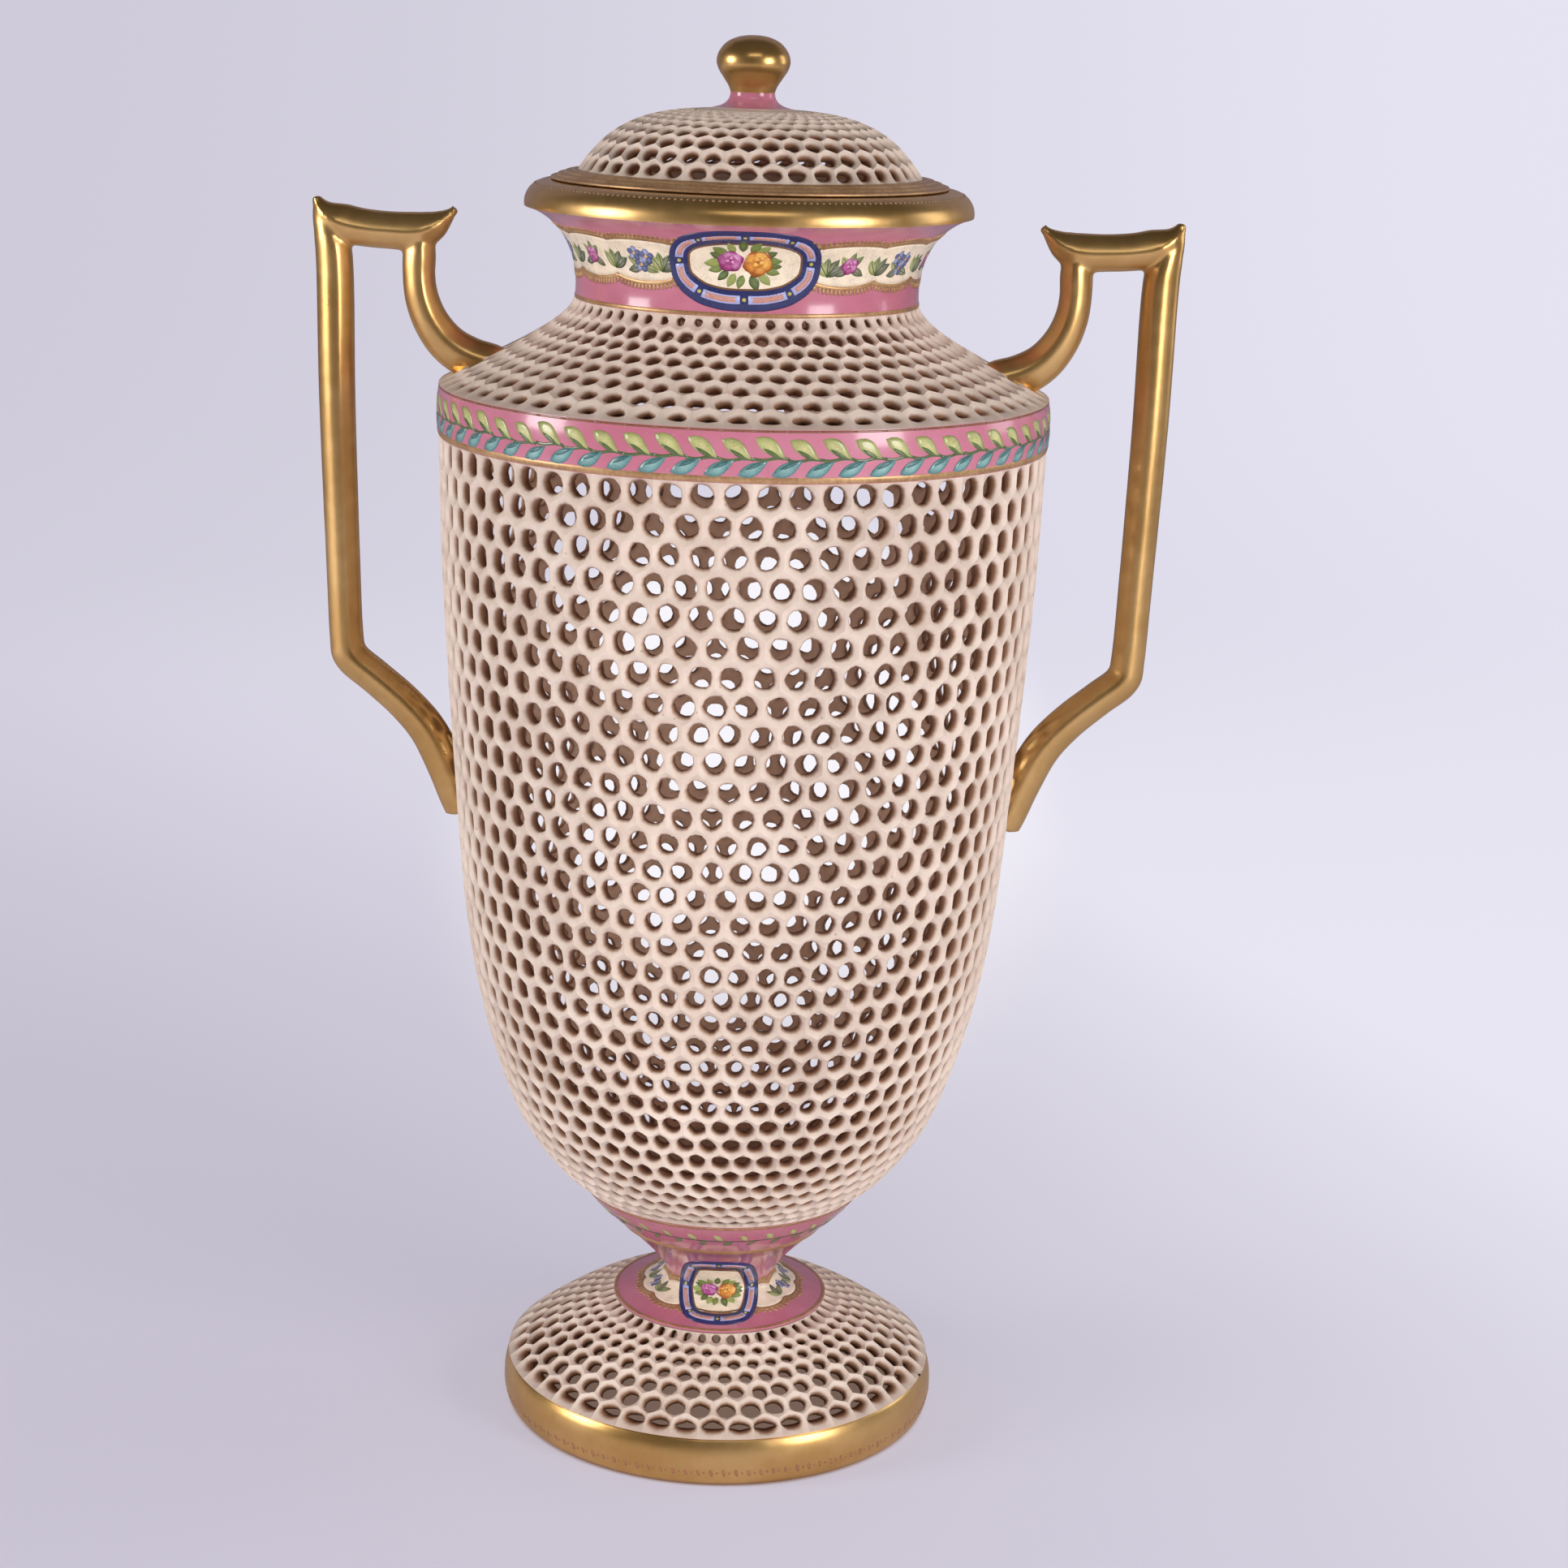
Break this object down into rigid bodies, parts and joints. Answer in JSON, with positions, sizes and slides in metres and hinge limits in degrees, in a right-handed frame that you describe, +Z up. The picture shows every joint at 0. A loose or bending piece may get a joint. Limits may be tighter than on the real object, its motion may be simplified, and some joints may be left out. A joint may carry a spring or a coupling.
{
  "type": "reticulated lidded vase",
  "caption": "Footed porcelain jar with pierced honeycomb walls, rose enamel bands, two upright gilt handles and a loose pierced domed lid with a gilt knob.",
  "frame": {"origin": "centre of the foot ring on the surface that the vase stands on", "axes": "+Z up through the knob of the lid, the handles stand along +X and -X, the front painting faces -Y"},
  "size_m": [0.1944, 0.1382, 0.3234],
  "materials": {
    "ivory_porcelain": "unglazed ivory parian body, satin",
    "rose_enamel": "rose ground enamel, glossy, painted and gilt",
    "burnished_gilding": "burnished gold over porcelain"
  },
  "bodies": {
    "jar": {"foot_ring": "burnished_gilding", "foot_lattice": "ivory_porcelain", "stem": "rose_enamel", "body_cup": "rose_enamel", "body_lattice": "ivory_porcelain", "shoulder_band": "rose_enamel", "shoulder_lattice": "ivory_porcelain", "neck": "rose_enamel", "mouth_lip": "burnished_gilding", "handle_right": "burnished_gilding", "handle_left": "burnished_gilding"},
    "lid": {"lid_rim": "burnished_gilding", "lid_locating_ring": "ivory_porcelain", "lid_lattice": "ivory_porcelain", "lid_collar": "rose_enamel", "lid_knob": "burnished_gilding"}
  },
  "joints": [
    {"name": "lid_lift", "type": "slide", "parent": "jar", "child": "lid", "axis": [0, 0, 1], "range_m": [0, 0.06]}
  ]
}
